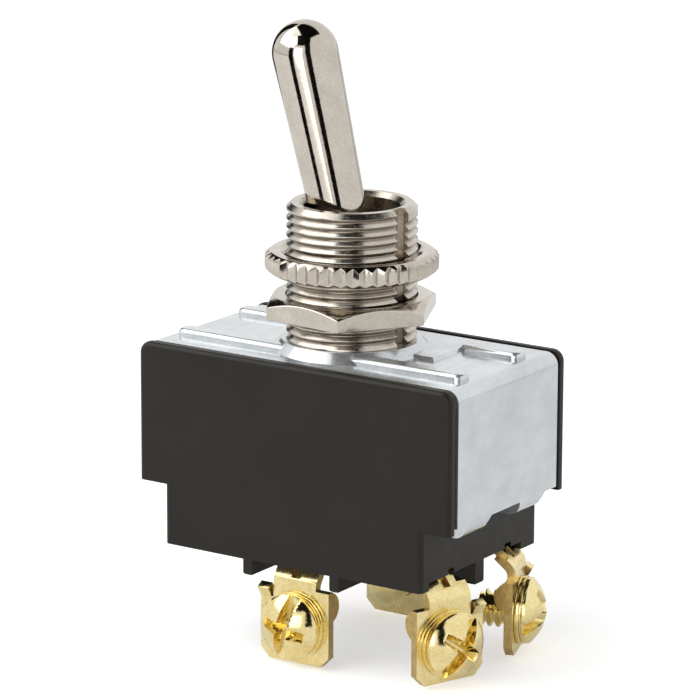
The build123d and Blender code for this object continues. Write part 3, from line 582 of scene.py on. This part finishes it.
def make_nylon():
    """Undyed nylon: milky, a little uneven, with light that goes in a short way."""
    material, shader = new_material("undyed nylon")
    shader.inputs["Subsurface Weight"].default_value = 0.15
    shader.inputs["Subsurface Radius"].default_value = NYLON_LIGHT_DEPTH
    shader.inputs["Subsurface Scale"].default_value = 1.0
    tone = uneven(material, feature=1.2 * MM, low=0.0, high=1.0)
    two_colours(material, tone.outputs["Value"], NYLON, NYLON_PALE)
    uneven_gloss(material, feature=0.5 * MM, low=0.35, high=0.5)
    return material


nylon = make_nylon()
for node in ("actuator", "plunger_front", "plunger_rear"):
    dress(node, nylon)


# The terminals are stamped from half-hard brass sheet, bright on its faces and rougher at the sides
# that the punch sheared, which painted shade darkens. The contact arms inside are pressed from the
# same sheet.
BRASS = (0.72, 0.53, 0.18)
BRASS_PALE = (0.97, 0.87, 0.50)
# The sheared sides' darker brown is painted shade along the sheet's edges.
BRASS_SHEARED_PAINTED_SHADE = (0.42, 0.28, 0.10)
SHEARED_ROUGHER = 0.2
SIDEWAYS = 0.5
STAMPED_EDGE = 0.12 * MM
STAMPED_ROUNDED_ANGLE = 40
TERMINAL_FACING = {"centre_front": -90, "centre_rear": 90, "end_front": -20, "end_rear": 20}


def make_brass(name, roughness_low, roughness_high):
    """Bright brass: yellow, with darker tarnish in patches and fine scratches."""
    material, _ = new_material(name, metallic=1.0)
    mask = mottled(material, broad=1.3 * MM, fine=0.2 * MM)
    two_colours(material, mask, BRASS, BRASS_PALE)
    gloss = uneven_gloss(material, feature=0.3 * MM, low=roughness_low, high=roughness_high)
    raised(material, gloss.outputs["Height"], depth=0.006 * MM)
    return material


def roughen_and_shade_the_sheared_sides(material):
    """Roughens the faces marked as sheared, where the punch broke the sheet, and darkens them with
    painted shade.
    """
    nodes, links = material.node_tree.nodes, material.node_tree.links
    shader = nodes["Principled BSDF"]
    marks = nodes.new("ShaderNodeAttribute")
    marks.attribute_name = "sheared"
    broken = uneven(material, feature=0.25 * MM, low=0.55, high=1.0, stretch=(1, 1, 0.4))
    how_rough_and_shaded = nodes.new("ShaderNodeMath")
    how_rough_and_shaded.operation = "MULTIPLY"
    links.new(marks.outputs["Fac"], how_rough_and_shaded.inputs[0])
    links.new(broken.outputs["Value"], how_rough_and_shaded.inputs[1])
    # Painted shade: the darker brown stands for the shade along the sheet's edges. The added
    # roughness is the real sheared finish.
    sheared_shade = nodes.new("ShaderNodeMix")
    sheared_shade.data_type = "RGBA"
    sheared_shade.inputs["B"].default_value = (*BRASS_SHEARED_PAINTED_SHADE, 1)
    links.new(how_rough_and_shaded.outputs[0], sheared_shade.inputs["Factor"])
    links.new(shader.inputs["Base Color"].links[0].from_socket, sheared_shade.inputs["A"])
    links.new(sheared_shade.outputs["Result"], shader.inputs["Base Color"])
    rougher = nodes.new("ShaderNodeMath")
    rougher.operation = "MULTIPLY_ADD"
    rougher.inputs[1].default_value = SHEARED_ROUGHER
    links.new(how_rough_and_shaded.outputs[0], rougher.inputs[0])
    links.new(shader.inputs["Roughness"].links[0].from_socket, rougher.inputs[2])
    links.new(rougher.outputs[0], shader.inputs["Roughness"])


def mark_sheared_sides(terminal, facing):
    """Marks the faces at both sides of the sheet, which the punch sheared."""
    across = Vector((-math.sin(math.radians(facing)), math.cos(math.radians(facing)), 0))
    marks = terminal.data.attributes.new("sheared", "FLOAT", "FACE")
    for face in terminal.data.polygons:
        marks.data[face.index].value = 1.0 if abs(face.normal.dot(across)) > SIDEWAYS else 0.0


brass = make_brass("bright brass", roughness_low=0.14, roughness_high=0.26)
# The sheared sides get painted shade and a rougher finish.
roughen_and_shade_the_sheared_sides(brass)
for side, facing in TERMINAL_FACING.items():
    terminal = start_from(f"terminal_{side}", f"brass_terminal_{side}")
    join_flat_faces(terminal)
    round_edges(terminal, STAMPED_EDGE, STAMPED_ROUNDED_ANGLE)
    smooth(terminal)
    keep_flats_flat(terminal)
    mark_sheared_sides(terminal, facing)
    hand_over(terminal, brass, "housing", "brass", f"terminal_{side}")
for node in ("contact_arm_front", "contact_arm_rear"):
    dress(node, brass)


# The contacts are silver rivets with a soft tarnish. They are headed over through the arms and the
# end terminals' shelves.
SILVER = (0.70, 0.68, 0.64)
SILVER_PALE = (0.86, 0.85, 0.82)


def make_silver():
    """Silver contact rivets: pale, with a soft tarnish."""
    material, _ = new_material("contact silver", metallic=1.0)
    tone = uneven(material, feature=0.6 * MM, low=0.0, high=1.0)
    two_colours(material, tone.outputs["Value"], SILVER, SILVER_PALE)
    uneven_gloss(material, feature=0.25 * MM, low=0.22, high=0.38)
    return material


silver = make_silver()
for node in ("moving_contact_front", "moving_contact_rear",
             "fixed_contact_front", "fixed_contact_rear"):
    dress(node, silver)


# The four terminal screws are brass, number 6 with 32 threads to the inch, headed with a slot and a
# cross recess and then rolled. Here the CAD screws get the crown of their heads and their thread.
SCREW_RADIUS = 1.75 * MM
SCREW_LENGTH = 3.7 * MM
SCREW_DROP = 5.5 * MM
SCREW_THREAD_STEPS = 32
BELOW_HEAD = 0.1 * MM
CASE_HEIGHT = 18.7 * MM
SEAT_TO_CASE = 4.85 * MM
CENTRE_Y = 9.1 * MM
END_X = 14.65 * MM
END_Y = 6.0 * MM
END_RISE = 0.15 * MM
SCREW_PLACES = {"centre_front": (0, -CENTRE_Y, 0), "centre_rear": (0, CENTRE_Y, 0),
                "end_front": (END_X, -END_Y, END_RISE), "end_rear": (END_X, END_Y, END_RISE)}
HEAD_RIM = 0.98 * MM
ABOVE_RIM = 0.01 * MM
HEAD_REACH = 3.5 * MM
HEAD_CROWN = 1.4
HEAD_EDGE = 0.07 * MM
HEAD_ROUNDED_ANGLE = 28


def screw_stand(side):
    """The place of one screw: its head's seat, with Z out along its axis."""
    facing = math.radians(TERMINAL_FACING[side])
    x, y, rise = SCREW_PLACES[side]
    out = Vector((math.cos(facing), math.sin(facing), 0))
    upright = Vector((0, 0, 1))
    turned = Matrix((upright.cross(out), upright, out)).transposed().to_4x4()
    seat = Vector((x, y, rise - SEAT_TO_CASE - CASE_HEIGHT - SCREW_DROP))
    return Matrix.Translation(seat) @ turned


def crown_the_head(screws, standing):
    """Raises one head's dome along its screw's axis, which is turned upright for it and back."""
    screws.data.transform(standing.inverted())
    bpy.ops.object.mode_set(mode="EDIT")
    bpy.ops.mesh.select_mode(type="VERT")
    bpy.ops.mesh.select_all(action="DESELECT")
    bpy.ops.object.mode_set(mode="OBJECT")
    for vertex in screws.data.vertices:
        over_the_rim = vertex.co.z > HEAD_RIM + ABOVE_RIM
        vertex.select = over_the_rim and vertex.co.xy.length < HEAD_REACH
    bpy.ops.object.mode_set(mode="EDIT")
    bpy.ops.transform.resize(value=(1, 1, HEAD_CROWN), center_override=(0, 0, HEAD_RIM))
    bpy.ops.object.mode_set(mode="OBJECT")
    screws.data.transform(standing)


screw_brass = make_brass("screw brass", roughness_low=0.06, roughness_high=0.15)
screws = start_from("terminal_screws", "brass_terminal_screws")
join_flat_faces(screws)
for side in SCREW_PLACES:
    crown_the_head(screws, screw_stand(side))
round_edges(screws, HEAD_EDGE, HEAD_ROUNDED_ANGLE)
for side in SCREW_PLACES:
    cutter = thread_cutter("screw_thread_cutter", SCREW_RADIUS, -SCREW_LENGTH - THREAD_PITCH,
                           -BELOW_HEAD, steps=SCREW_THREAD_STEPS)
    cutter.data.transform(screw_stand(side))
    cut(screws, cutter)
smooth(screws)
hand_over(screws, screw_brass, "housing", "brass", "terminal_screws")


# The floor is a plain pale sheet just below the terminals. It is white for the camera and in the
# metal, like the surround behind it, and it keeps the switch's soft shadow.
FLOOR_SIZE = 4.0
FLOOR_DROP = 0.3 * MM
FLOOR_WHITE = (0.9, 0.9, 0.9)
FLOOR_ROUGHNESS = 0.9
FLOOR_GLOW = 0.52
FLOOR_GLOW_IN_METAL = 0.2


def make_floor_white():
    """A matte white that glows a little for the camera, so that it meets the white behind it."""
    material, shader = new_material("pale floor")
    shader.inputs["Base Color"].default_value = (*FLOOR_WHITE, 1)
    shader.inputs["Roughness"].default_value = FLOOR_ROUGHNESS
    nodes, links = material.node_tree.nodes, material.node_tree.links
    path = nodes.new("ShaderNodeLightPath")
    camera_glow = nodes.new("ShaderNodeMath")
    camera_glow.operation = "MULTIPLY"
    camera_glow.inputs[1].default_value = FLOOR_GLOW
    glow_level = nodes.new("ShaderNodeMath")
    glow_level.operation = "MULTIPLY_ADD"
    glow_level.inputs[1].default_value = FLOOR_GLOW_IN_METAL
    glow = nodes.new("ShaderNodeEmission")
    both = nodes.new("ShaderNodeAddShader")
    links.new(path.outputs["Is Camera Ray"], camera_glow.inputs[0])
    links.new(path.outputs["Is Glossy Ray"], glow_level.inputs[0])
    links.new(camera_glow.outputs[0], glow_level.inputs[2])
    links.new(glow_level.outputs[0], glow.inputs["Strength"])
    links.new(shader.outputs["BSDF"], both.inputs[0])
    links.new(glow.outputs["Emission"], both.inputs[1])
    links.new(both.outputs["Shader"], nodes["Material Output"].inputs["Surface"])
    return material


bpy.ops.object.select_all(action="DESELECT")
bpy.ops.mesh.primitive_plane_add(size=FLOOR_SIZE, location=(0, 0, cad_box[0].z - FLOOR_DROP))
floor = bpy.context.object
floor.name = "floor"
floor.data.materials.append(make_floor_white())


# The studio has two soft lamps, and black cards that show only in the metal's reflections, as the
# dark lines down the lever and the nuts.
CENTRE = (cad_box[0] + cad_box[1]) / 2
CARD_BLACK = (0.01, 0.01, 0.01)


def towards(azimuth, elevation):
    """The way from the object to a place round it: azimuth 0 is in front and 90 at its right."""
    a, e = math.radians(azimuth), math.radians(elevation)
    return Vector((math.sin(a) * math.cos(e), -math.cos(a) * math.cos(e), math.sin(e)))


def lamp(name, azimuth, elevation, distance, width, height, power):
    """A soft rectangular lamp that faces the object, in metres and watts."""
    light = bpy.data.lights.new(name, "AREA")
    light.shape = "RECTANGLE"
    light.size, light.size_y = width, height
    light.energy = power
    place = bpy.data.objects.new(name, light)
    bpy.context.scene.collection.objects.link(place)
    direction = towards(azimuth, elevation)
    place.location = CENTRE + direction * distance
    place.rotation_euler = direction.to_track_quat("Z", "Y").to_euler()


def black_card(name, azimuth, elevation, distance, width, height):
    """A black card that faces the object and shows only in reflections."""
    bpy.ops.object.select_all(action="DESELECT")
    bpy.ops.mesh.primitive_plane_add(size=1.0)
    card = bpy.context.object
    card.name = name
    direction = towards(azimuth, elevation)
    turn = direction.to_track_quat("Z", "Y").to_matrix().to_4x4()
    size = Matrix.Diagonal((width, height, 1, 1))
    card.data.transform(Matrix.Translation(CENTRE + direction * distance) @ turn @ size)
    material, shader = new_material(name)
    shader.inputs["Base Color"].default_value = (*CARD_BLACK, 1)
    shader.inputs["Specular IOR Level"].default_value = 0.0
    card.data.materials.append(material)
    card.visible_camera = False
    card.visible_diffuse = False
    card.visible_shadow = False


lamp("key_softbox", azimuth=-45, elevation=49, distance=0.6, width=0.76, height=0.60, power=2.4)
lamp("front_panel", azimuth=9, elevation=9, distance=0.7, width=0.36, height=0.46, power=0.8)
black_card("left_front_card", azimuth=-18, elevation=5.6, distance=0.16, width=0.044, height=0.145)
black_card("right_front_card", azimuth=43, elevation=22, distance=0.5, width=0.16, height=0.95)
black_card("right_high_card", azimuth=27, elevation=54, distance=0.55, width=0.40, height=0.36)
black_card("left_card", azimuth=-114, elevation=20, distance=0.16, width=0.055, height=0.22)
black_card("ceiling_card", azimuth=0, elevation=90, distance=0.8, width=0.9, height=0.9)


# The surround is plain white and lights the object softly from all round.
# The camera, and what the metal reflects, see it at full white.
SURROUND_LIGHT = 0.45

world = bpy.data.worlds.new("white surround")
bpy.context.scene.world = world
world.use_nodes = True
surround = world.node_tree.nodes["Background"]
surround.inputs["Color"].default_value = (1, 1, 1, 1)
world_links = world.node_tree.links
path = world.node_tree.nodes.new("ShaderNodeLightPath")
seen = None
for ray in ("Is Camera Ray", "Is Glossy Ray", "Is Transmission Ray"):
    brightest = world.node_tree.nodes.new("ShaderNodeMath")
    brightest.operation = "MAXIMUM"
    brightest.inputs[1].default_value = SURROUND_LIGHT
    world_links.new(path.outputs[ray], brightest.inputs[0])
    if seen:
        world_links.new(seen.outputs[0], brightest.inputs[1])
    seen = brightest
world_links.new(seen.outputs[0], surround.inputs["Strength"])


# The camera stands where the photograph was taken from. The values were fitted to the bushing's
# thread and the case's edges, in the photograph's frame of 700 pixels each way.
VIEW_AZIMUTH = 33.687
VIEW_ELEVATION = 14.214
VIEW_ROLL = -0.246
PICTURE = 700
FOCAL_PIXELS = 4287.3
CASE_TOP_AT = (351.578, 344.715)
CASE_TOP_DISTANCE = 388.45 * MM
SENSOR = 36.0

back = towards(VIEW_AZIMUTH, VIEW_ELEVATION)
azimuth = math.radians(VIEW_AZIMUTH)
level_right = Vector((math.cos(azimuth), math.sin(azimuth), 0))
upright = back.cross(level_right)
roll = Matrix.Rotation(math.radians(-VIEW_ROLL), 3, back)
right, up = roll @ level_right, roll @ upright
across = (CASE_TOP_AT[0] - PICTURE / 2) / FOCAL_PIXELS * CASE_TOP_DISTANCE
down = (CASE_TOP_AT[1] - PICTURE / 2) / FOCAL_PIXELS * CASE_TOP_DISTANCE
camera = bpy.data.objects.new("camera", bpy.data.cameras.new("camera"))
bpy.context.scene.collection.objects.link(camera)
camera.data.sensor_width = SENSOR
camera.data.lens = FOCAL_PIXELS / PICTURE * SENSOR
case_top = Vector((0, 0, -SEAT_TO_CASE))
camera.location = case_top - right * across + up * down + back * CASE_TOP_DISTANCE
camera.rotation_mode = "QUATERNION"
camera.rotation_quaternion = Matrix((right, up, back)).transposed().to_quaternion()
bpy.context.scene.camera = camera
bpy.context.scene.view_settings.view_transform = "Standard"
